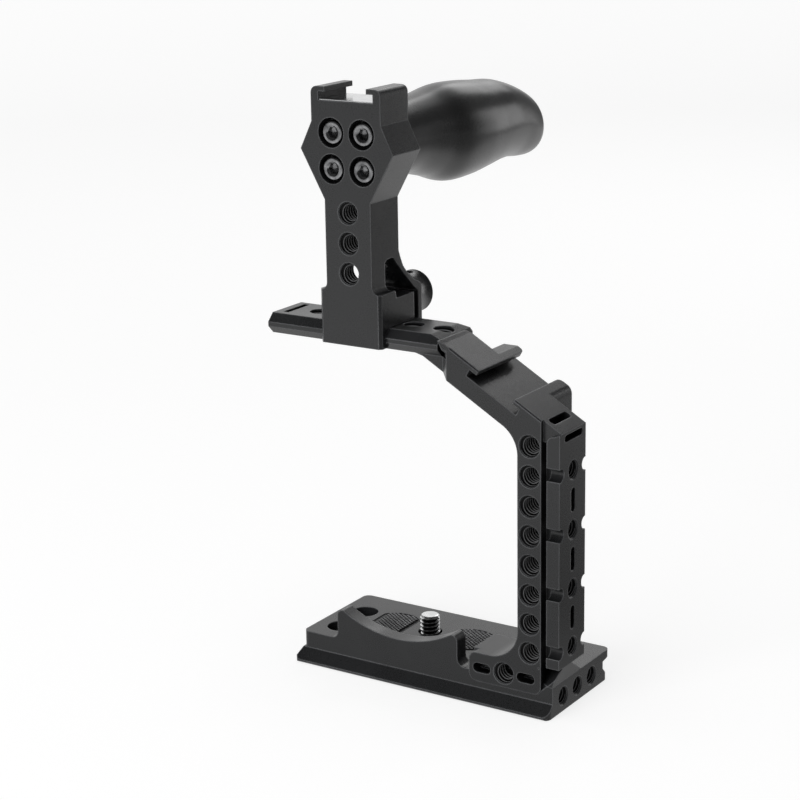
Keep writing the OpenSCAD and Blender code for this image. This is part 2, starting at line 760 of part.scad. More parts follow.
module camera_screw() {
    seat = foot_z + screw_recess_d - washer_t;
    color("#d6d8da") difference() {
        union() {
            translate([0, 0, seat]) cylinder(r = screw_neck_r, h = -seat);
            translate([0, 0, -free_gap]) cylinder(r = quarter_r, h = thread_h - screw_tip + free_gap);
            translate([0, 0, thread_h - screw_tip])
                cylinder(r1 = quarter_r, r2 = quarter_r - screw_tip, h = screw_tip);
            translate([0, 0, seat - screw_head_h]) cylinder(r = screw_head_r, h = screw_head_h);
        }
        box([-screw_head_r - cut, -coin_w / 2, seat - screw_head_h - cut],
            [screw_head_r + cut, coin_w / 2, seat - screw_head_h + coin_d]);
    }
}

module camera_screw_clip() {
    color("#151516") difference() {
        translate([0, 0, foot_z + screw_recess_d - washer_t]) cylinder(r = washer_r, h = washer_t);
        translate([0, 0, foot_z]) cylinder(r = screw_neck_r + run_gap, h = plate_t);
    }
}

// The head's outline in x and z, from its neck up
function head_outline() = [
    [-post_w / 2, head_neck_z], [-head_corner_w / 2, head_corner_z], [-head_w / 2, head_side_z],
    [-head_w / 2, head_z1 - head_edge_r], [head_w / 2, head_z1 - head_edge_r],
    [head_w / 2, head_side_z], [head_corner_w / 2, head_corner_z], [post_w / 2, head_neck_z]
];

// A point of the web from its shares
function web_point(share) = [post_y1 + share.x * web_run, wall_z1 + share.y * web_rise];

// The post seen from its side: a front wall, a window over the block, and a web that
// comes down behind it to the rear wall
function post_section() = concat(
    [[post_y0, clamp_z0 + block_rise], [post_y0, head_z1 - head_edge_r], [post_y1, head_z1 - head_edge_r]],
    [for (share = web_outer_share) web_point(share)],
    [[wall_y1, wall_z0], [wall_y0, wall_z0], [wall_y0, wall_z1 - web_toe]],
    [for (share = web_inner_share) web_point(share)],
    [[window_y0 + window_r / 2, window_z1 - window_r / 10], [window_y0, window_z1 - window_r / 2],
        [window_y0, clamp_z0 + block_rise]]
);

// The clamp block seen from its side, with the fixed jaw's hook over the rail's front edge
function block_section() = [
    [post_y0, clamp_z0], [post_y0, step_z1], [step_y, step_z1], [step_y + step_run, block_z1],
    [block_y1, block_z1], [block_y1, rail_top + slide_gap],
    [rail_y0 + rail_bevel - hook_gap, rail_top + slide_gap], [rail_y0 - slide_gap, land_z1 + hook_gap],
    [rail_y0 - slide_gap, land_z0 - hook_gap],
    [rail_y0 - slide_gap + (land_z0 - hook_gap - clamp_z0), clamp_z0]
];

module handle_post() {
    color("#2b2c2e") difference() {
        translate([handle_x, 0, 0]) union() {
            along_x(-post_w / 2, post_w / 2, post_section());
            along_x(-clamp_w / 2, clamp_w / 2, block_section());
            along_y(post_y0, post_y1, head_outline());
            box([-head_w / 2 + head_edge_r, post_y0, head_side_z],
                [head_w / 2 - head_edge_r, post_y1, head_z1]);
            for (side = [-1, 1]) {
                rod_y(side * (head_w / 2 - head_edge_r), head_z1 - head_edge_r,
                    head_edge_r, post_y0, post_y1);
            }
            difference() {
                box([-post_w / 2 - neck_r, post_y0, step_z1 - joint_overlap],
                    [post_w / 2 + neck_r, window_y0, step_z1 + neck_r]);
                for (side = [-1, 1])
                    rod_y(side * (post_w / 2 + neck_r), step_z1 + neck_r,
                        neck_r, post_y0 - cut, window_y0 + cut);
            }
        }
        translate([handle_x, 0, 0]) {
            translate([0, 0, head_floor]) shoe_channel(post_y0, post_y1, shoe_gap, shoe_plate_t);
            for (side = [-1, 1])
                translate([side * clamp_w / 2, post_y0, clamp_z0 - cut]) rotate([0, 0, 45])
                    cube([clamp_edge * diag, clamp_edge * diag, 2 * (step_z1 - clamp_z0 + 2 * cut)],
                        center = true);
            box([-notch_half, wall_y0 - cut, wall_z0 - cut], [notch_half, wall_y1 + cut, notch_z1]);
            for (side_x = [-1, 1], side_z = [-1, 1]) {
                x = side_x * screw_pitch / 2;
                z = screw_z + side_z * screw_pitch / 2;
                rod_y(x, z, m4_r + m4_clear, post_y0 - cut, post_y1 + cut);
                rod_y(x, z, counter_r, post_y0 - cut, post_y0 + counter_d);
            }
            for (i = [0:post_holes - 1])
                front_hole(0, post_hole_z + i * hole_pitch, post_y0, post_d + cut);
            rod_y(0, knob_z, stud_r + run_gap, wall_y0 - cut, wall_y1 + cut);
            rod_y(0, knob_z, stud_neck_r + clip_r, block_y1 - free_gap, block_y1 + cut);
            for (side = [-1, 1])
                rod_y(side * pin_x, pin_z, pin_r, block_y1 - pin_sink, block_y1 + cut);
        }
    }
}

module shoe_plate() {
    color("#cfd1d3") translate([handle_x, 0, head_floor])
        box([-shoe_w / 2 + shoe_plate_gap, post_y0 + shoe_plate_t, 0],
            [shoe_w / 2 - shoe_plate_gap, post_y1 - shoe_plate_t, shoe_plate_t]);
}

// The four places of the grip screws
module at_screws() {
    for (side_x = [-1, 1], side_z = [-1, 1])
        translate([handle_x + side_x * screw_pitch / 2, 0, screw_z + side_z * screw_pitch / 2])
            children();
}

module grip_screws() {
    color("#56585b") at_screws() translate([0, post_y0 + counter_d, 0]) rotate([-90, 0, 0])
        cap_screw(grip_screw_l);
}

module grip_inserts() {
    color("#b08d4a") at_screws() difference() {
        rod_y(0, 0, insert_r, post_y1, post_y1 + insert_l);
        rod_y(0, 0, m4_r + run_gap, post_y1 - cut, post_y1 + insert_l + cut);
    }
}

// The grip's core: a round bar with four flats and a tapered nose, grown by a gap
module core_form(grow) {
    intersection() {
        translate([handle_x, post_y1, screw_z]) rotate([-90, 0, 0]) union() {
            cylinder(r = core_r + grow, h = core_l - core_nose);
            translate([0, 0, core_l - core_nose])
                cylinder(r1 = core_r + grow, r2 = core_r / 2 + grow, h = core_nose + grow);
        }
        box([handle_x - core_flat - grow, post_y1 - cut, screw_z - core_flat - grow],
            [handle_x + core_flat + grow, post_y1 + core_l + cut, screw_z + core_flat + grow]);
    }
}

module grip_core() {
    color("#202123") difference() {
        core_form(0);
        at_screws() rod_y(0, 0, insert_r, post_y1 - cut, post_y1 + insert_l);
        at_screws() rod_y(0, 0, m4_r + run_gap, post_y1 - cut, post_y0 + counter_d + grip_screw_l + cut);
    }
}

// The grip's table at a share s of the way from row i to the next, on a smooth curve
function grip_row(i, s) =
    let (
        last = len(grip_share) - 1, b = grip_share[min(i, last)], a = grip_share[max(i - 1, 0)],
        c = grip_share[min(i + 1, last)], d = grip_share[min(i + 2, last)]
    )
    b + (c - a) * s / 2 + (2 * a - 5 * b + 4 * c - d) * s * s / 2 + (3 * b - 3 * c + d - a) * s * s * s / 2;

// One point of the grip's skin, at ring i and side j
function grip_point(i, j) =
    let (row = grip_row(floor(i / grip_steps), (i % grip_steps) / grip_steps), a = 360 * j / grip_sides)
    [handle_x + grip_side * row[3] * cos(a), post_y1 + grip_l * row[0],
        screw_z + grip_rise * row[1] + grip_rise * row[2] * sin(a)];

module grip_skin() {
    rings = grip_steps * (len(grip_share) - 1) + 1;
    points = [for (i = [0:rings - 1], j = [0:grip_sides - 1]) grip_point(i, j)];
    sides = [
        for (i = [0:rings - 2], j = [0:grip_sides - 1], half = [0, 1])
            let (a = i * grip_sides + j, b = i * grip_sides + (j + 1) % grip_sides)
            half == 0 ? [a, a + grip_sides, b] : [b, a + grip_sides, b + grip_sides]
    ];
    first = [for (j = [0:grip_sides - 1]) j];
    last = [for (j = [grip_sides - 1:-1:0]) (rings - 1) * grip_sides + j];
    polyhedron(points, concat(sides, [first], [last]));
}

module grip_shell() {
    color("#2c2d2f") difference() {
        grip_skin();
        difference() {
            core_form(run_gap);
            box([handle_x - plate_l, post_y1 - plate_l, screw_z - plate_l],
                [handle_x + plate_l, post_y1 - cut, screw_z + plate_l]);
        }
    }
}

// The moving jaw seen from its side: a plate in the slot and a hook under the rail
function jaw_section() = [
    [jaw_plate_y0, rail_top + slide_gap], [jaw_plate_y0, jaw_plate_z1], [jaw_plate_y1, jaw_plate_z1],
    [jaw_plate_y1, jaw_hook_z1], [jaw_hook_y1, jaw_hook_z1], [jaw_hook_y1, jaw_z0],
    [rail_y1 + slide_gap - (land_z0 - hook_gap - jaw_z0), jaw_z0], [rail_y1 + slide_gap, land_z0 - hook_gap],
    [rail_y1 + slide_gap, land_z1 + hook_gap], [rail_y1 - rail_bevel + hook_gap, rail_top + slide_gap]
];

module clamp_jaw() {
    color("#242527") difference() {
        translate([handle_x, 0, 0]) along_x(-jaw_half, jaw_half, jaw_section());
        rod_y(handle_x, knob_z, stud_neck_r + run_gap, jaw_plate_y0 - cut, jaw_plate_y1 + cut);
        rod_y(handle_x, knob_z, clip_pocket_r, jaw_plate_y0 - cut, jaw_plate_y0 + clip_pocket_d);
        for (side = [-1, 1])
            rod_y(handle_x + side * pin_x, pin_z, pin_r + run_gap, jaw_plate_y0 - cut, wall_y1);
    }
}

module jaw_guide_pins() {
    color("#b9bbbd") for (side = [-1, 1])
        rod_y(handle_x + side * pin_x, pin_z, pin_r, block_y1 - pin_sink, wall_y0 - free_gap);
}

module clamp_knob() {
    color("#2b2c2e") difference() {
        translate([handle_x, knob_y0, knob_z]) rotate([-90, 0, 0]) union() {
            cylinder(r1 = knob_d / 2 - knob_chamfer, r2 = knob_d / 2, h = knob_chamfer);
            translate([0, 0, knob_chamfer]) cylinder(r = knob_d / 2, h = knob_l - 2 * knob_chamfer);
            translate([0, 0, knob_l - knob_chamfer])
                cylinder(r1 = knob_d / 2, r2 = knob_d / 2 - knob_chamfer, h = knob_chamfer);
        }
        rod_y(handle_x, knob_z, stud_r, knob_y0 - cut, knob_y0 + knob_bore);
        translate([handle_x, knob_y0 + knob_l / 2, knob_z + stud_r - joint_overlap])
            cylinder(r = grub_r, h = knob_d);
    }
}

module clamp_stud() {
    color("#9c9ea1") union() {
        rod_y(handle_x, knob_z, stud_r, jaw_plate_y1 + run_gap, knob_y0 + knob_bore);
        rod_y(handle_x, knob_z, stud_neck_r, jaw_plate_y0 + run_gap, jaw_plate_y1 + 2 * run_gap);
    }
}

module stud_clip() {
    y = jaw_plate_y0 + clip_pocket_d - clip_t - run_gap;
    color("#5c5e61") difference() {
        rod_y(handle_x, knob_z, clip_r, y, y + clip_t);
        rod_y(handle_x, knob_z, stud_neck_r, y - cut, y + clip_t + cut);
    }
}

module knob_grub_screw() {
    color("#2f3033") translate([handle_x, knob_y0 + knob_l / 2, knob_z + stud_r]) difference() {
        cylinder(r = grub_r, h = grub_l);
        translate([0, 0, grub_l / 2]) cylinder(r = grub_r / 2, h = grub_l, $fn = 6);
    }
}

base_plate();
side_arm();
arm_screws();
pad_left();
pad_right();
camera_screw();
camera_screw_clip();
handle_post();
shoe_plate();
grip_screws();
grip_inserts();
grip_core();
grip_shell();
clamp_jaw();
jaw_guide_pins();
clamp_knob();
clamp_stud();
stud_clip();
knob_grub_screw();
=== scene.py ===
import json
import math
import bmesh
import bpy
from mathutils import Matrix, Vector


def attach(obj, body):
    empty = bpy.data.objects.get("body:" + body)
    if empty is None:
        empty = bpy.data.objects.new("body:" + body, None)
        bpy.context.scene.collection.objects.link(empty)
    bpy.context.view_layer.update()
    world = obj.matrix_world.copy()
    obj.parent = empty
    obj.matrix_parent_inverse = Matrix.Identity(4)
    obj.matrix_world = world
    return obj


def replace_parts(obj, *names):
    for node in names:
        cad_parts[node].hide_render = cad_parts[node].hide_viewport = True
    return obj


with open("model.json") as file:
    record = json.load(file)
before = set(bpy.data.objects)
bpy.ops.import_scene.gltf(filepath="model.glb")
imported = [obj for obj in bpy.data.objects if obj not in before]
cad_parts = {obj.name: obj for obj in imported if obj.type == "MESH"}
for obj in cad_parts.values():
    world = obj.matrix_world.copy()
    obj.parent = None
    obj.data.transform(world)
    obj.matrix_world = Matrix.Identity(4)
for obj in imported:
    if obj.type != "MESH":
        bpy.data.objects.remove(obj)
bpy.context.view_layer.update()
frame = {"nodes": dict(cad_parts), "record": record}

MM = 0.001

# Sizes from part.scad, in millimetres
PLATE_L = 89.5
PLATE_LEFT = 35
PLATE_X1 = PLATE_L - PLATE_LEFT
FOOT_Z = -9.5
END_Y0 = -13.15
END_PITCH = 8.82
END_Z = FOOT_Z + 4.74
END_HOLES = 3
SCREW_RECESS_D = 4.5
WASHER_T = 0.8
SEAT_Z = FOOT_Z + SCREW_RECESS_D - WASHER_T
THREAD_H = 5.7
SCREW_HEAD_R = 6.6
SCREW_HEAD_H = 2.6
COIN_W = 1.5
PAD_X = 13.8
PAD_R = 8.6
PAD_HALF = 6.7
PAD_T = 1.4
PAD_PROUD = 0.3
ARM_IN = 42.7
ARM_W = 13.9
ARM_OUT = ARM_IN + ARM_W
ARM_Y0 = -19.8
STRIP_W = 7.8
HOLE_X = ARM_IN + STRIP_W / 2
HOLE_Z = 9.45
HOLE_PITCH = 9.05
FRONT_HOLES = 8
SIDE_Y = -11.7
SIDE_Z = HOLE_Z + 1.6
SIDE_HOLES = 4
ARM_FOOT_L = 16.7
ARM_FOOT_X0 = ARM_IN - ARM_FOOT_L
FOOT_HOLE_X = ARM_FOOT_X0 + 11.9
FOOT_HOLE_Z = 1.2
ARM_RECESS_D = 4.3
ARM_SCREW_XS = (ARM_FOOT_X0 + 4.5, ARM_IN + 0.8)
ARM_SCREW_Y = -9
ARM_SCREW_GRIP = 4.6
CORNER_Z = 77.5
SHOULDER_T = 9.1
SHOULDER_ANGLE = math.radians(30)
RAIL_Z = 94.9
RAIL_T = 6.3
RAIL_TOP = RAIL_Z + RAIL_T
RAIL_HOLE_Y = -9.3
RAIL_HOLE_DXS = (-40.6, -6.6, 3.7)
POST_X = -12.8
POST_D = 14.6
POST_Y0 = -21.8
POST_Y1 = POST_Y0 + POST_D
POST_HOLE_Z = 117.2
HEAD_TOP = 171.8
HEAD_CORNER_DROP = 18.5
SCREW_DROP = 0.1
SCREW_Z = HEAD_TOP - HEAD_CORNER_DROP - SCREW_DROP
SCREW_PITCH = 10.6
COUNTER_D = 4.6
GRIP_SCREW_L = 18
M4_HEX_R = 1.73
KNOB_Y0 = 5.9
KNOB_Z = RAIL_TOP + 4.1
KNOB_L = 8.6
KNOB_BORE = 6
STUD_R = 2.5
GRUB_R = 1.5
GRIP_L = 89.6
GRIP_H = 29
GRIP_W = 27
QUARTER_R = 3.175
SMALL_R = 2.6

# The pitch of each thread: part.scad leaves the ridges out
QUARTER_PITCH = 1.27
SMALL_PITCH = 0.8

# Part.scad's table of the grip: a share of its length, then the centre's height, the half
# height and the half width as shares of half the grip's height or width
GRIP_SHARES = [
    [0, 0.021, 0.752, 0.837], [0.06, 0.034, 0.755, 0.837], [0.16, 0.041, 0.779, 0.859],
    [0.28, -0.007, 0.887, 0.919], [0.4, -0.071, 1.039, 1.007], [0.52, -0.088, 1.034, 1.015],
    [0.63, -0.088, 0.97, 0.97], [0.73, -0.08, 0.908, 0.919], [0.82, -0.139, 0.835, 0.852],
    [0.9, -0.251, 0.773, 0.785], [0.955, -0.345, 0.69, 0.704], [0.985, -0.44, 0.531, 0.541],
    [1, -0.503, 0.269, 0.281]]

UP, DOWN, BACK, LEFT = (0, 0, 1), (0, 0, -1), (0, 1, 0), (-1, 0, 0)

# The camera, fitted to the photo by least squares
CAMERA_AT = Vector((0.331409, -0.524997, 0.250850))
CAMERA_AZ = 0.5764514702810373
CAMERA_PITCH = 0.2753845844093986
CAMERA_ROLL = -0.01689139125059104
FOCAL_PIXELS = 2123.224
PHOTO_PIXELS = 800
SENSOR_W = 36

sin_az, cos_az = math.sin(CAMERA_AZ), math.cos(CAMERA_AZ)
sin_p, cos_p = math.sin(CAMERA_PITCH), math.cos(CAMERA_PITCH)
forward = Vector((-sin_az * cos_p, cos_az * cos_p, -sin_p))
right = Vector((cos_az, sin_az, 0))
toward = Vector((-sin_az, cos_az, 0))
up = right.cross(forward)
cos_r, sin_r = math.cos(CAMERA_ROLL), math.sin(CAMERA_ROLL)
axis_x = right * cos_r + up * sin_r
axis_y = up * cos_r - right * sin_r

camera_data = bpy.data.cameras.new("camera")
camera_data.lens = FOCAL_PIXELS * SENSOR_W / PHOTO_PIXELS
camera_data.sensor_width = SENSOR_W
camera_data.sensor_fit = "HORIZONTAL"
camera_data.clip_start = 0.01
camera_data.clip_end = 20
camera = bpy.data.objects.new("camera", camera_data)
bpy.context.scene.collection.objects.link(camera)
camera.matrix_world = Matrix((
    (axis_x.x, axis_y.x, -forward.x, CAMERA_AT.x),
    (axis_x.y, axis_y.y, -forward.y, CAMERA_AT.y),
    (axis_x.z, axis_y.z, -forward.z, CAMERA_AT.z),
    (0, 0, 0, 1)))
bpy.context.scene.camera = camera
bpy.context.scene.view_settings.view_transform = "Standard"


class Graph:
    """The node tree of a material or a world, with short calls for the nodes used here."""

    def __init__(self, owner, kind="Material"):
        owner.use_nodes = True
        self.owner = owner
        self.tree = owner.node_tree
        self.tree.nodes.clear()
        self.out = self.node("Output" + kind)

    def node(self, kind, **settings):
        made = self.tree.nodes.new("ShaderNode" + kind)
        for key, value in settings.items():
            setattr(made, key, value)
        return made

    def put(self, socket, value):
        """Links an output socket to an input, or sets a constant on it."""
        if isinstance(value, bpy.types.NodeSocket):
            self.tree.links.new(value, socket)
        else:
            socket.default_value = value

    def math(self, operation, a, b=0.0):
        made = self.node("Math", operation=operation)
        self.put(made.inputs[0], a)
        self.put(made.inputs[1], b)
        return made.outputs[0]

    def dot(self, a, b):
        made = self.node("VectorMath", operation="DOT_PRODUCT")
        self.put(made.inputs[0], a)
        self.put(made.inputs[1], b)
        return made.outputs["Value"]

    def length(self, vector):
        made = self.node("VectorMath", operation="LENGTH")
        self.put(made.inputs[0], vector)
        return made.outputs["Value"]

    def place(self):
        return self.node("TexCoord").outputs["Object"]

    def noise(self, scale, detail=2.0, rough=0.5, vector=None):
        made = self.node("TexNoise")
        made.inputs["Scale"].default_value = scale
        made.inputs["Detail"].default_value = detail
        made.inputs["Roughness"].default_value = rough
        self.put(made.inputs["Vector"], vector or self.place())
        return made.outputs["Fac"]

    def lines(self, x, y, z, detail=2.0, rough=0.5):
        """Noise with its own scale along each of the object's axes."""
        made = self.node("Mapping")
        self.put(made.inputs["Vector"], self.place())
        made.inputs["Scale"].default_value = (x, y, z)
        return self.noise(1.0, detail, rough, made.outputs["Vector"])

    def span(self, value, low, high, to_low=0.0, to_high=1.0, smooth=False):
        """A value's range from low to high, spread over another range."""
        made = self.node("MapRange", interpolation_type="SMOOTHSTEP" if smooth else "LINEAR")
        for i, v in enumerate((value, low, high, to_low, to_high)):
            self.put(made.inputs[i], v)
        return made.outputs[0]

    def spread(self, noise, to_low=0.0, to_high=1.0):
        """A noise's usual range, spread over another one."""
        return self.span(noise, 0.3, 0.7, to_low, to_high)

    def crest(self, low, high, smooth=False):
        """How near a point of a thread is to its crest, from the piece's own attribute."""
        share = self.node("Attribute", attribute_name="crest").outputs["Fac"]
        return self.span(share, low, high, smooth=smooth)

    def openness(self, reach):
        """How open the piece is around a point, within a reach: low in its hollows."""
        made = self.node("AmbientOcclusion", samples=8, only_local=True)
        made.inputs["Distance"].default_value = reach
        return made.outputs["AO"]

    def blend(self, amount, a, b):
        made = self.node("Mix", data_type="RGBA")
        self.put(made.inputs["Factor"], amount)
        self.put(made.inputs[6], a)
        self.put(made.inputs[7], b)
        return made.outputs[2]

    def bump(self, height, distance, strength=1.0, normal=None):
        made = self.node("Bump")
        self.put(made.inputs["Height"], height)
        made.inputs["Distance"].default_value = distance
        made.inputs["Strength"].default_value = strength
        if normal is not None:
            self.put(made.inputs["Normal"], normal)
        return made.outputs["Normal"]

    def rounded(self, radius):
        """The normal with its sharp edges softened, and how near an outer edge a point is."""
        made = self.node("Bevel", samples=4)
        made.inputs["Radius"].default_value = radius
        turned = self.dot(made.outputs[0], self.node("NewGeometry").outputs["Normal"])
        outer = self.span(self.openness(radius * 2), 0.45, 0.8)
        near = self.math("MULTIPLY", self.span(turned, 0.999, 0.94), outer)
        return made.outputs[0], near

    def glow(self, kind, strength):
        """White light from an Emission or a Background node."""
        made = self.node(kind)
        made.inputs["Color"].default_value = (1, 1, 1, 1)
        self.put(made.inputs["Strength"], strength)
        return made.outputs[0]

    def mix(self, amount, a, b):
        """Two shaders mixed."""
        made = self.node("MixShader")
        for i, v in enumerate((amount, a, b)):
            self.put(made.inputs[i], v)
        return made.outputs[0]

    def surface(self, shader):
        self.put(self.out.inputs["Surface"], shader)
        return self.owner

    def shader(self, color, rough, metallic=0.0, normal=None, **constants):
        made = self.node("BsdfPrincipled")
        self.put(made.inputs["Base Color"], color)
        self.put(made.inputs["Roughness"], rough)
        made.inputs["Metallic"].default_value = metallic
        if normal is not None:
            self.put(made.inputs["Normal"], normal)
        for key, value in constants.items():
            made.inputs[key.replace("_", " ")].default_value = value
        return self.surface(made.outputs[0])


FINE_EDGE = 0.00014  # how far the edges of small turned parts are rounded, in metres


def anodised(name, dark, light, rough_low, rough_high, level, radius, edge_highlight_share):
    """Bead-blasted, dyed aluminium: a fine grain, handling marks, a painted highlight on its outer
    edges, painted shade in its hollows.
    """
    pale_grain = (0.09, 0.092, 0.096, 1)
    edge_highlight_tone = (0.5, 0.51, 0.53, 1)
    deep_shade = (0.0015, 0.0015, 0.0016, 1)
    hollow_reach = 0.005
    g = Graph(bpy.data.materials.new(name))
    normal, edge = g.rounded(radius)
    grain = g.noise(4200, 3.0, 0.6)
    cloud = g.noise(48, 4.0, 0.55)
    marks = g.lines(900, 900, 60, 3.0, 0.6)
    # Painted highlight: the outer edges are painted pale, in place of the light that their chamfers
    # catch
    painted_edge_highlight = g.math("MULTIPLY", edge, g.span(cloud, 0.3, 0.6, edge_highlight_share * 0.55, edge_highlight_share))
    tone = g.blend(g.spread(cloud), dark, light)
    tone = g.blend(g.span(grain, 0.58, 0.76, 0.0, 0.3), tone, pale_grain)
    tone = g.blend(painted_edge_highlight, tone, edge_highlight_tone)
    # Painted shade: the colour is darkened in hollows and creases, where little light reaches
    shade = g.span(g.openness(hollow_reach), 0.25, 0.65, 0.92, 0.0)
    tone = g.blend(shade, tone, deep_shade)
    rough = g.spread(cloud, rough_low, rough_high)
    rough = g.math("MULTIPLY", rough, g.span(grain, 0.35, 0.7, 0.85, 1.15))
    rough = g.math("SUBTRACT", rough, g.span(marks, 0.64, 0.76, 0.0, 0.02))
    bumped = g.bump(grain, 0.000007, 0.6, normal)
    return g.shader(tone, rough, 0.0, bumped, Specular_IOR_Level=level)


def thread_with_painted_light(name):
    """A cut thread in the metal: painted shade in its roots, a painted highlight along its crests.
    """
    root = (0.0008, 0.0008, 0.0009, 1)
    g = Graph(bpy.data.materials.new(name))
    lines = g.lines(5000, 600, 5000)
    crest = g.crest(0.7, 1.0)
    rubbing_and_crest_highlight = g.blend(lines, (0.12, 0.121, 0.124, 1), (0.32, 0.323, 0.33, 1))
    # Painted shade and highlight: the roots are black and the crests pale, standing in for the
    # light and shade on the ridges
    tone = g.blend(crest, root, rubbing_and_crest_highlight)
    rough = g.math("ADD", g.span(crest, 0.0, 1.0, 0.5, 0.16), g.spread(lines, 0.0, 0.08))
    return g.shader(tone, rough, 0.0, g.bump(lines, 0.000004, 0.4), Specular_IOR_Level=0.2)


def lathe_lines(g):
    """The fine lines that a lathe leaves around a piece's own Z."""
    return g.lines(300, 300, 7000)


def steel(name, color, pale, rough_low, rough_high):
    """Turned or ground steel with fine lathe lines, small stains and a painted highlight on its
    edges.
    """
    g = Graph(bpy.data.materials.new(name))
    normal, edge = g.rounded(FINE_EDGE)
    lines = lathe_lines(g)
    cloud = g.noise(420, 3.0, 0.6)
    tone = g.blend(g.spread(cloud), color, pale)
    # Painted highlight: the edges are painted toward the pale tone
    tone = g.blend(g.math("MULTIPLY", edge, 0.7), tone, pale)
    stained = g.math("ADD", lines, g.math("MULTIPLY", cloud, 0.6))
    rough = g.span(stained, 0.5, 1.1, rough_low, rough_high)
    return g.shader(tone, rough, 1.0, g.bump(lines, 0.000005, 0.5, normal))


def turned_steel(name):
    """Bright steel with painted shade in the roots of its thread."""
    root_painted_shade = (0.006, 0.006, 0.0062, 1)
    g = Graph(bpy.data.materials.new(name))
    normal = g.rounded(FINE_EDGE)[0]
    lines = lathe_lines(g)
    crest = g.crest(0.1, 0.75, True)
    bright = g.blend(lines, (0.5, 0.505, 0.51, 1), (0.84, 0.845, 0.85, 1))
    # Painted shade: the thread's roots are painted dark
    tone = g.blend(crest, root_painted_shade, bright)
    rough = g.math("ADD", g.span(crest, 0.0, 1.0, 0.5, 0.1), g.spread(lines, 0.0, 0.12))
    return g.shader(tone, rough, 1.0, g.bump(lines, 0.000005, 0.5, normal))


def rubber(name, dark, light, rough_low, rough_high, level, grain_scale, depth):
    """Moulded rubber or soft-touch paint with a fine leathery grain."""
    g = Graph(bpy.data.materials.new(name))
    grain = g.noise(grain_scale, 3.0, 0.62)
    cloud = g.noise(55, 4.0, 0.55)
    tone = g.blend(g.span(cloud, 0.32, 0.68), dark, light)
    rough = g.span(cloud, 0.32, 0.68, rough_low, rough_high)
    rough = g.math("ADD", rough, g.spread(grain, -0.03, 0.03))
    return g.shader(tone, rough, 0.0, g.bump(grain, depth, 0.6), Specular_IOR_Level=level)


def pad_rubber(name, low, high):
    """Knurled rubber: painted shade, black in its grooves and paler up to its tips, with random
    grime.
    """
    groove_painted_shade, tip = (0.0025, 0.0025, 0.0027, 1), (0.3, 0.302, 0.308, 1)
    grime = (0.02, 0.02, 0.021, 1)
    g = Graph(bpy.data.materials.new(name))
    split = g.node("SeparateXYZ")
    g.put(split.inputs[0], g.place())
    height = g.span(split.outputs["Z"], low * MM, high * MM)
    rubbing_and_crest_highlight = g.noise(900, 3.0, 0.6)
    # Painted shade: colour by height, black deep in the grooves and paler towards the tips
    tone = g.blend(height, groove_painted_shade, tip)
    tone = g.blend(g.span(rubbing_and_crest_highlight, 0.35, 0.7, 0.0, 0.45), tone, grime)
    rough = g.spread(rubbing_and_crest_highlight, 0.42, 0.6)
    return g.shader(tone, rough, 0.0, g.bump(rubbing_and_crest_highlight, 0.00002, 0.5), Specular_IOR_Level=0.5)


def plastic(name, dark, light):
    """Moulded nylon with a spark-eroded grain."""
    g = Graph(bpy.data.materials.new(name))
    normal = g.rounded(0.00012)[0]
    grain = g.noise(2600, 3.0, 0.6)
    cloud = g.noise(90, 3.0, 0.5)
    tone = g.blend(g.spread(cloud), dark, light)
    rough = g.spread(grain, 0.42, 0.58)
    bumped = g.bump(grain, 0.00001, 0.6, normal)
    return g.shader(tone, rough, 0.0, bumped, Specular_IOR_Level=0.45)


finishes = {
    "black_anodised": anodised(
        "black_anodised", (0.013, 0.0134, 0.0142, 1), (0.019, 0.0195, 0.0206, 1),
        0.27, 0.34, level=0.5, radius=0.0005, edge_highlight_share=0.35),
    "black_steel": anodised(
        "black_steel", (0.012, 0.0122, 0.0126, 1), (0.024, 0.0243, 0.025, 1),
        0.2, 0.3, level=0.7, radius=FINE_EDGE, edge_highlight_share=0.6),
    "dark_steel": steel(
        "dark_steel", (0.09, 0.091, 0.094, 1), (0.34, 0.343, 0.35, 1), 0.16, 0.3),
    "bright_steel": steel(
        "bright_steel", (0.52, 0.525, 0.53, 1), (0.64, 0.645, 0.65, 1), 0.15, 0.24),
    "pad_rubber": pad_rubber("pad_rubber", 0.0, 0.28),
    "grip_rubber": rubber(
        "grip_rubber", (0.0045, 0.0047, 0.005, 1), (0.0065, 0.0068, 0.0072, 1),
        0.27, 0.31, level=0.5, grain_scale=5200, depth=0.000006),
    "black_nylon": plastic("black_nylon", (0.008, 0.008, 0.0085, 1), (0.014, 0.014, 0.0145, 1)),
    "brass": steel("brass", (0.52, 0.36, 0.14, 1), (0.7, 0.52, 0.24, 1), 0.25, 0.4),
}
threaded = thread_with_painted_light("thread_painted_light")
turned = turned_steel("turned_steel")

slot_of = {row["node"]: row["material_slot"] for row in frame["record"]["subparts"]}
for name, node in frame["nodes"].items():
    finish = finishes[slot_of[name]]
    if len(node.material_slots) == 0:
        node.data.materials.append(finish)
    for entry in node.material_slots:
        entry.material = finish


def piece(name, verts, faces, body, slot, finish=None, crease=None):
    """A mesh piece from points in millimetres, riding on a body.

    crease is the sharpest edge, in degrees, that is shaded smooth; without it all is flat.
    """
    mesh = bpy.data.meshes.new(name)
    mesh.from_pydata([(x * MM, y * MM, z * MM) for x, y, z in verts], [], faces)
    mesh.validate()
    made = bmesh.new()
    made.from_mesh(mesh)
    bmesh.ops.recalc_face_normals(made, faces=made.faces)
    made.to_mesh(mesh)
    made.free()
    if crease is not None:
        for polygon in mesh.polygons:
            polygon.use_smooth = True
        mesh.set_sharp_from_angle(angle=math.radians(crease))
    obj = bpy.data.objects.new(name, mesh)
    bpy.context.scene.collection.objects.link(obj)
    mesh.materials.append(finish or finishes[slot])
    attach(obj, body)
    return obj


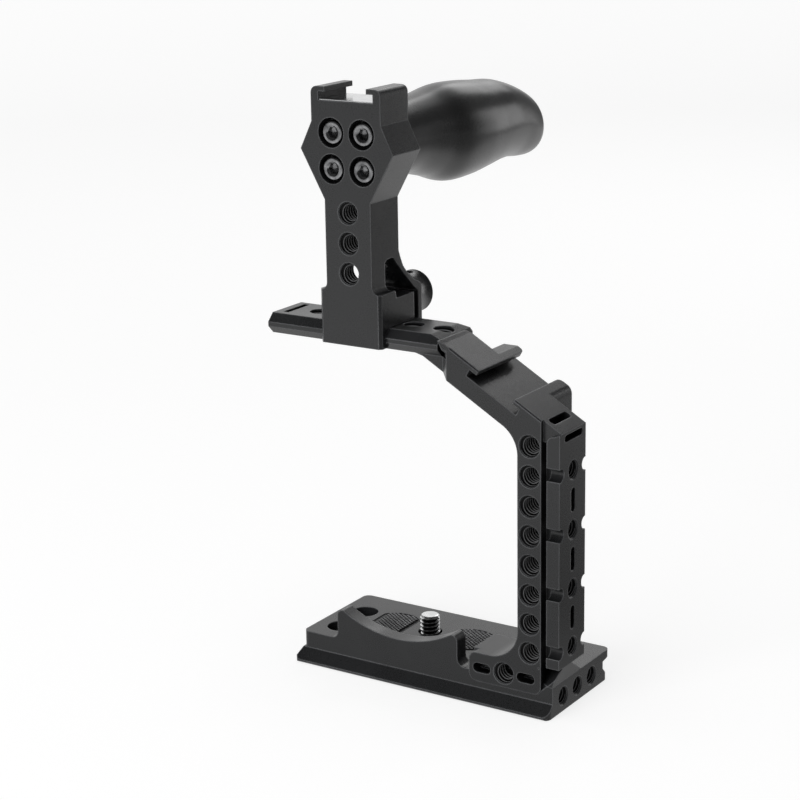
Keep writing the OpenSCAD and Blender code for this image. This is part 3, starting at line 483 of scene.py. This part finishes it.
def cut_away(obj, name, build):
    """Cuts a shape out of a piece; build fills the shape's own mesh."""
    mesh = bpy.data.meshes.new(name)
    made = bmesh.new()
    build(made)
    made.to_mesh(mesh)
    made.free()
    cutter = bpy.data.objects.new(name, mesh)
    bpy.context.scene.collection.objects.link(cutter)
    modifier = obj.modifiers.new(name, "BOOLEAN")
    modifier.object = cutter
    modifier.solver = "EXACT"
    depsgraph = bpy.context.evaluated_depsgraph_get()
    obj.data = bpy.data.meshes.new_from_object(obj.evaluated_get(depsgraph))
    obj.modifiers.clear()
    bpy.data.objects.remove(cutter)


def frame_of(axis):
    """A unit axis and two unit vectors square to it."""
    axis = Vector(axis).normalized()
    side = Vector((0, 0, 1)) if abs(axis.z) < 0.9 else Vector((1, 0, 0))
    u = axis.cross(side).normalized()
    return axis, u, axis.cross(u).normalized()


def ring(verts, sides, point, shift=0.0):
    """Adds a ring of vertices, the j-th at point(j, its angle), and returns their numbers.

    shift turns the ring by that share of the angle between two vertices.
    """
    first = len(verts)
    for j in range(sides):
        verts.append(tuple(point(j, 2 * math.pi * (j + shift) / sides)))
    return list(range(first, first + sides))


def band(faces, lower, upper):
    """Joins two rings of vertices with quads."""
    n = len(lower)
    for j in range(n):
        k = (j + 1) % n
        faces.append((lower[j], lower[k], upper[k], upper[j]))


def bands(faces, rings):
    """Joins each ring to the next."""
    for lower, upper in zip(rings, rings[1:]):
        band(faces, lower, upper)


def closed(faces, rings):
    """Joins the rings and closes both ends."""
    bands(faces, rings)
    faces.append(tuple(rings[0]))
    faces.append(tuple(rings[-1]))


def mark_crests(made, share):
    """Writes the crest attribute: share(number, place) is 0 in a root and 1 on a crest."""
    crest = made.data.attributes.new("crest", "FLOAT", "POINT")
    for i, (vert, entry) in enumerate(zip(made.data.vertices, crest.data)):
        entry.value = share(i, vert.co)


def helix(verts, faces, start, axis, outer, inner, pitch, length):
    """Adds one thread ridge: its foot is at radius outer and its crest at radius inner."""
    steps, foot_half, crest_half, least = 32, 0.44, 0.09, 0.02
    axis, u, v = frame_of(axis)
    start = Vector(start)
    count = int(steps * length / pitch)
    rings = []
    for i in range(count + 1):
        angle = 2 * math.pi * i / steps
        fade = min(1.0, 2 * i / steps, 2 * (count - i) / steps)
        crest = outer + (inner - outer) * max(fade, least)
        out = u * math.cos(angle) + v * math.sin(angle)
        middle = start + axis * (pitch * i / steps)
        corners = ((outer, -foot_half), (crest, -crest_half),
                   (crest, crest_half), (outer, foot_half))
        rings.append(ring(verts, len(corners), lambda j, turn: (
            middle + axis * (corners[j][1] * pitch) + out * corners[j][0])))
    bands(faces, rings)
    faces.append(tuple(rings[0]))
    faces.append(tuple(reversed(rings[-1])))


def threads(name, body, axis, radius, pitch, holes):
    """One piece holding the thread ridges of several holes, each with its start and length."""
    foot_sunk, ridge_share = 0.03, 0.56
    verts, faces = [], []
    for start, length in holes:
        helix(verts, faces, start, axis, radius + foot_sunk, radius - ridge_share * pitch,
              pitch, length)
    made = piece(name, verts, faces, body, "black_anodised", threaded, crease=40)
    mark_crests(made, lambda i, at: 1.0 if i % 4 in (1, 2) else 0.0)


# Threads in the holes: how far below its hole's face a thread starts, and each one's length
SINK = 0.75
ARM_THREAD = 14.0
POST_THREADS = (5.6, 13.0, 13.0)
SIDE_THREAD = 4.4
END_THREAD = 5.6
FOOT_THREAD = 5.6
RAIL_THREAD = 4.9
under_rise = RAIL_Z + SHOULDER_T / math.cos(SHOULDER_ANGLE) - CORNER_Z
under_join_x = ARM_OUT - under_rise / math.tan(SHOULDER_ANGLE)
threads("arm_threads", "cage", BACK, QUARTER_R, QUARTER_PITCH, [
    ((HOLE_X, ARM_Y0 + SINK, HOLE_Z + i * HOLE_PITCH), ARM_THREAD)
    for i in range(FRONT_HOLES)])
threads("post_threads", "handle", BACK, QUARTER_R, QUARTER_PITCH, [
    ((POST_X, POST_Y0 + SINK, POST_HOLE_Z + i * HOLE_PITCH), length)
    for i, length in enumerate(POST_THREADS)])
threads("side_threads", "cage", LEFT, SMALL_R, SMALL_PITCH, [
    ((ARM_OUT - SINK, SIDE_Y, SIDE_Z + 2 * i * HOLE_PITCH), SIDE_THREAD)
    for i in range(SIDE_HOLES)])
threads("end_threads", "cage", LEFT, SMALL_R, SMALL_PITCH, [
    ((PLATE_X1 - SINK, END_Y0 + END_PITCH * i, END_Z), END_THREAD)
    for i in range(END_HOLES)])
threads("foot_thread", "cage", BACK, QUARTER_R, QUARTER_PITCH, [
    ((FOOT_HOLE_X, ARM_Y0 + SINK, FOOT_HOLE_Z), FOOT_THREAD)])
threads("rail_threads", "cage", DOWN, QUARTER_R, QUARTER_PITCH, [
    ((under_join_x + dx, RAIL_HOLE_Y, RAIL_TOP - SINK), RAIL_THREAD)
    for dx in RAIL_HOLE_DXS])


def threaded_screw():
    """The camera screw turned as one form: a cut thread, a dished end and a wide head."""
    sides, rows_per_turn = 48, 12
    row_h = QUARTER_PITCH / rows_per_turn
    flare_h, point_h, point_slope = 0.2, 0.6, 0.9
    low = SEAT_Z + flare_h
    thread_z0, thread_z1 = -0.3, THREAD_H - 0.5
    root_r, crest_r = 2.42, QUARTER_R - 0.005
    tooth_h, tooth_slope = 1.3, 3.2
    head_r = SCREW_HEAD_R - 0.05
    verts, faces = [], []

    def turned_ring(radius, z):
        return ring(verts, sides, lambda j, angle: (
            radius * math.cos(angle), radius * math.sin(angle), z))

    def thread_ring(z):
        def point(j, angle):
            phase = ((z - low) / QUARTER_PITCH - j / sides) % 1.0
            tooth = min(1.0, max(0.0, tooth_h - tooth_slope * abs(phase - 0.5)))
            radius = root_r + (crest_r - root_r) * (tooth if z > thread_z0 else 0.0)
            radius = min(radius, crest_r - max(0.0, z - (THREAD_H - point_h)) * point_slope)
            return radius * math.cos(angle), radius * math.sin(angle), z
        return ring(verts, sides, point)

    shank = [thread_ring(low + i * row_h) for i in range(int((THREAD_H - low) / row_h) + 1)]
    for radius, drop in ((1.9, 0.02), (1.2, 0.1), (0.5, 0.14)):
        shank.append(turned_ring(radius, THREAD_H - drop))
    bands(faces, shank)
    faces.append(tuple(shank[-1]))
    head = [shank[0]]
    for radius, z in ((2.6, low), (3.0, SEAT_Z + 0.02), (6.1, SEAT_Z), (head_r, SEAT_Z - 0.3),
                      (head_r, SEAT_Z - 2.2), (6.2, SEAT_Z - 2.55)):
        head.append(turned_ring(radius, z))
    for upper, lower in zip(head, head[1:]):
        band(faces, lower, upper)
    faces.append(tuple(reversed(head[-1])))
    made = piece("camera_screw_turned", verts, faces, "camera_screw", "bright_steel", turned,
                 crease=35)

    def reach(i, at):
        if thread_z0 < at.z / MM < thread_z1:
            return (at.xy.length / MM - root_r) / (QUARTER_R - root_r)
        return 1.0

    mark_crests(made, reach)
    return made


def coin_slot(made):
    """The slot across the camera screw's head."""
    length, height = 16, 2.6
    bmesh.ops.create_cube(made, size=1.0)
    bmesh.ops.scale(made, vec=(length * MM, COIN_W * MM, height * MM), verts=made.verts)
    bmesh.ops.translate(made, vec=(0, 0, (SEAT_Z - SCREW_HEAD_H) * MM), verts=made.verts)


screw = threaded_screw()
cut_away(screw, "coin_slot", coin_slot)
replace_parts(screw, "camera_screw")


def socket_screws(name, body, slot, rows):
    """Socket-head screws: each row has the seat under the head, the way to the tip, the shank."""
    sides, knurl = 72, 0.1
    sixth = math.pi / 3
    flat = M4_HEX_R * math.cos(sixth / 2)
    head = (
        (3.3, 0.0), (3.42, 0.12), (3.49, 0.2, "knurl"), (3.49, 3.3, "knurl"), (3.46, 3.5),
        (3.4, 3.72), (3.26, 3.88), (3.08, 3.965), (2.9, 3.99), (2.3, 3.99), (2.14, 3.95),
        (1.95, 3.8), (1.0, 3.55, "hex"), (1.0, 1.95, "hex"), (1.2, 1.9), (0.1, 1.5))
    verts, faces = [], []
    for seat, axis, shank in rows:
        axis, u, v = frame_of(axis)
        seat = Vector(seat)

        def turned_ring(radius, rise, shape="round"):
            def point(j, angle):
                r = radius
                if shape == "knurl":
                    r = radius - knurl * (j % 2)
                if shape == "hex":
                    r = radius * flat / math.cos((angle % sixth) - sixth / 2)
                out = u * math.cos(angle) + v * math.sin(angle)
                return seat - axis * rise + out * r
            return ring(verts, sides, point, shift=0.5)

        tip = ((1.7, -shank), (1.99, -shank + 0.3), (1.99, -0.15), (2.1, 0.0))
        closed(faces, [turned_ring(*row) for row in tip + head])
    return piece(name, verts, faces, body, slot, crease=28)


arm_seat = FOOT_Z + ARM_RECESS_D
grip_tip_room, arm_tip_room = 0.05, 0.35
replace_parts(socket_screws("grip_screws_turned", "handle", "dark_steel", [
    ((POST_X + sx * SCREW_PITCH / 2, POST_Y0 + COUNTER_D, SCREW_Z + sz * SCREW_PITCH / 2),
     BACK, GRIP_SCREW_L - grip_tip_room)
    for sx in (-1, 1) for sz in (-1, 1)]), "grip_screws")
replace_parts(socket_screws("arm_screws_turned", "cage", "black_steel", [
    ((x, ARM_SCREW_Y, arm_seat), UP, ARM_SCREW_GRIP - arm_seat - arm_tip_room)
    for x in ARM_SCREW_XS]), "arm_screws")


def knurled_pad(name, side):
    """A pad with rows of small pyramids, in the outline of the CAD pad."""
    room, arc_steps = 0.12, 16
    centre, radius, half = side * PAD_X, PAD_R - room, PAD_HALF - room
    floor_z, base_z, tip_z = PAD_PROUD - PAD_T, -0.25, 0.295
    rows, columns, pitch_x, pitch_y, margin = 15, 5, 1.9, 1.3, 0.1
    reach_x, reach_y, foot_sunk, tip_share = pitch_x * 0.49, pitch_y * 0.49, 0.02, 0.5
    turn = math.acos(half / radius)
    rim = []
    for start in (turn, math.pi + turn):
        for i in range(arc_steps + 1):
            a = start + (math.pi - 2 * turn) * i / arc_steps
            rim.append((centre + radius * math.cos(a), radius * math.sin(a)))
    n = len(rim)
    verts = [(x, y, z) for z in (floor_z, base_z) for x, y in rim]
    faces = [tuple(range(n)), tuple(range(2 * n - 1, n - 1, -1))]
    band(faces, list(range(n)), list(range(n, 2 * n)))
    for row in range(-rows, rows + 1):
        for column in range(-columns, columns + 1):
            x = (column + (row % 2) * 0.5) * pitch_x
            y = row * pitch_y / 2
            corners = [(x - reach_x, y), (x, y - reach_y), (x + reach_x, y), (x, y + reach_y)]
            if any(math.hypot(cx, cy) > radius - margin or abs(cx) > half - margin
                   for cx, cy in corners):
                continue
            foot = ring(verts, 4, lambda j, angle: (
                centre + corners[j][0], corners[j][1], base_z - foot_sunk))
            tip = ring(verts, 4, lambda j, angle: (
                centre + x + (corners[j][0] - x) * tip_share,
                y + (corners[j][1] - y) * tip_share, tip_z))
            band(faces, foot, tip)
            faces.append(tuple(tip))
            faces.append(tuple(reversed(foot)))
    return piece(name, verts, faces, "cage", "pad_rubber")


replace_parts(knurled_pad("pad_left_knurled", -1), "pad_left")
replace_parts(knurled_pad("pad_right_knurled", 1), "pad_right")


def knurled_knob():
    """The clamp's knob: a drum with a fine straight knurl between plain rims, and a dished end."""
    sides, knurl = 96, 0.1
    verts, faces = [], []

    def turned_ring(radius, along, cut=0.0):
        def point(j, angle):
            r = radius - cut * (j % 2)
            return POST_X + r * math.cos(angle), KNOB_Y0 + along, KNOB_Z + r * math.sin(angle)
        return ring(verts, sides, point)

    profile = (
        (0.4, 0.02), (5.8, 0.02), (6.02, 0.1), (6.58, 0.62), (6.58, 0.9), (6.58, 1.0, knurl),
        (6.58, 7.6, knurl), (6.58, 7.7), (6.58, 7.98), (6.02, 8.5), (5.8, 8.58), (4.9, 8.58),
        (4.6, 8.35), (4.3, 8.2), (0.4, 8.2))
    closed(faces, [turned_ring(*row) for row in profile])
    return piece("clamp_knob_knurled", verts, faces, "knob", "black_anodised", crease=30)


def grub_hole(made):
    """The hole for the grub screw, and the socket for the stud."""
    grub_middle, grub_reach, over = 5.4, 5.8, 1
    across = Matrix.Translation(
        (POST_X * MM, (KNOB_Y0 + KNOB_L / 2) * MM, (KNOB_Z + grub_middle) * MM))
    along = Matrix.Translation(
        (POST_X * MM, (KNOB_Y0 + (KNOB_BORE - over) / 2) * MM, KNOB_Z * MM))
    for radius, depth, matrix in (
            (GRUB_R, grub_reach, across),
            (STUD_R, KNOB_BORE + over, along @ Matrix.Rotation(math.pi / 2, 4, "X"))):
        bmesh.ops.create_cone(made, cap_ends=True, segments=32, radius1=radius * MM,
                              radius2=radius * MM, depth=depth * MM, matrix=matrix)


knob = knurled_knob()
cut_away(knob, "grub_hole", grub_hole)
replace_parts(knob, "clamp_knob")


def grip_row(i, s):
    """The grip's table at a share s of the way from row i to the next, on a smooth curve."""
    last = len(GRIP_SHARES) - 1
    a, b, c, d = (GRIP_SHARES[min(max(i + k, 0), last)] for k in (-1, 0, 1, 2))
    return [q + (r - p) * s / 2 + (2 * p - 5 * q + 4 * r - t) * s * s / 2
            + (3 * q - 3 * r + t - p) * s ** 3 / 2 for p, q, r, t in zip(a, b, c, d)]


def smooth_grip():
    """The grip's form of part.scad with finer rings and a rolled front edge."""
    sides, steps, edge_steps = 96, 8, 4
    edge_inset, edge_run, edge_end = 0.045, 0.0075, 0.008
    grip_rise, grip_side = GRIP_H / 2, GRIP_W / 2
    rows = [grip_row(i, k / steps) for i in range(len(GRIP_SHARES) - 1) for k in range(steps)]
    rows.append(GRIP_SHARES[-1])
    verts, faces = [], []

    def grip_ring(share, centre, rise, side):
        return ring(verts, sides, lambda j, angle: (
            POST_X + grip_side * side * math.cos(angle), POST_Y1 + GRIP_L * share,
            SCREW_Z + grip_rise * centre + grip_rise * rise * math.sin(angle)))

    _, centre, rise, side = rows[0]
    rings = []
    for k in range(edge_steps + 1):
        turn = math.pi / 2 * k / edge_steps
        inset = edge_inset * (1 - math.sin(turn))
        rings.append(grip_ring(edge_run * (1 - math.cos(turn)), centre, rise - inset, side - inset))
    for share, centre, rise, side in rows[1:]:
        rings.append(grip_ring(max(share, edge_end), centre, rise, side))
    for k in (0.66, 0.33):
        rings.append(grip_ring(1.0, centre, rise * k, side * k))
    closed(faces, rings)
    return piece("grip_skin", verts, faces, "handle", "grip_rubber", crease=60)


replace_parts(smooth_grip(), "grip_shell")


def stage_material():
    """A pale floor that the camera sees as white, with a faint shadow.

    In gloss it glows as painted light: bright up to an edge that moves to the right with distance,
    dim beyond that edge, and darker close to the object as a painted shadow.
    """
    floor_tone, dim = (0.32, 0.32, 0.32, 1), 0.25
    g = Graph(bpy.data.materials.new("stage_white"))
    path = g.node("LightPath").outputs
    at = g.node("NewGeometry").outputs["Position"]
    away = g.length(at)
    # Painted light: in gloss the floor glows like a lamp, in this shape
    edge = g.span(g.dot(at, tuple(toward)), low=0.0, high=0.35, to_low=0.0, to_high=0.53)
    past = g.math("SUBTRACT", g.dot(at, tuple(right)), edge)
    shine = g.span(past, 0.0, 0.14, 1.0, dim, True)
    # Painted shadow: the glow seen in gloss is darker near the object
    painted_object_shadow = g.span(away, 0.03, 0.3, 0.6, 1.0, True)
    gloss = g.glow("Emission", g.math("MULTIPLY", painted_object_shadow, shine))
    seen = g.math("MAXIMUM", path["Is Camera Ray"], path["Is Transmission Ray"])
    even = g.span(away, 0.4, 2.2, 0.76, 0.88)
    white = g.glow("Emission", g.math("MULTIPLY", seen, even))
    diffuse = g.node("BsdfDiffuse")
    diffuse.inputs["Color"].default_value = floor_tone
    lit = g.node("AddShader")
    g.put(lit.inputs[0], diffuse.outputs[0])
    g.put(lit.inputs[1], white)
    return g.surface(g.mix(path["Is Glossy Ray"], lit.outputs[0], gloss))


def sweep():
    """A floor, in metres, that curves up into a backdrop far behind the object."""
    front, back, bend, top, half_width, gap = -3.0, 1.2, 0.8, 2.6, 4.0, 0.0002
    bend_steps = 12
    profile = [(front, 0.0), (back, 0.0)]
    for k in range(1, bend_steps + 1):
        a = math.pi / 2 * k / bend_steps
        profile.append((back + bend * math.sin(a), bend - bend * math.cos(a)))
    profile.append((back + bend, top))
    verts = [(right.x * x + toward.x * d, right.y * x + toward.y * d, FOOT_Z * MM - gap + h)
             for d, h in profile for x in (-half_width, half_width)]
    faces = [(2 * i, 2 * i + 1, 2 * i + 3, 2 * i + 2) for i in range(len(profile) - 1)]
    mesh = bpy.data.meshes.new("floor_sweep")
    mesh.from_pydata(verts, [], faces)
    for polygon in mesh.polygons:
        polygon.use_smooth = True
    obj = bpy.data.objects.new("floor_sweep", mesh)
    bpy.context.scene.collection.objects.link(obj)
    mesh.materials.append(stage_material())


def studio():
    """The room: soft light on the object, near white for the camera, dark in gloss."""
    room, behind, dark = 0.25, 0.98, 0.08
    world = bpy.data.worlds.new("studio")
    bpy.context.scene.world = world
    g = Graph(world, "World")
    path = g.node("LightPath").outputs
    plain = g.mix(path["Is Camera Ray"], g.glow("Background", room), g.glow("Background", behind))
    g.surface(g.mix(path["Is Glossy Ray"], plain, g.glow("Background", dark)))


def softbox(name, place, aim, width, height, radiance, glossy=True):
    """A soft light of a given brightness, seen in gloss or not, and never by the camera."""
    data = bpy.data.lights.new(name, "AREA")
    data.shape = "RECTANGLE"
    data.size, data.size_y = width, height
    data.energy = radiance * math.pi * width * height
    lamp = bpy.data.objects.new(name, data)
    bpy.context.scene.collection.objects.link(lamp)
    lamp.location = place
    direction = Vector(aim) - Vector(place)
    lamp.rotation_euler = direction.to_track_quat("-Z", "Y").to_euler()
    lamp.visible_camera = False
    lamp.visible_glossy = glossy


CENTRE = (0.0, 0.0, 0.08)
GRIP = (-0.013, 0.04, 0.15)
sweep()
studio()
softbox("key_over", (-0.1, -0.1, 1.5), CENTRE, 1.2, 1.2, 1.7, False)
softbox("front_fill", (-0.2, -1.5, 0.5), CENTRE, 1.0, 0.6, 7.5, False)
softbox("back_strip", (0.377, 0.96, 0.2), GRIP, 0.2, 0.45, 2.6)
softbox("over_back_left", (-0.195, 0.896, 0.635), GRIP, 0.42, 0.3, 2.1)
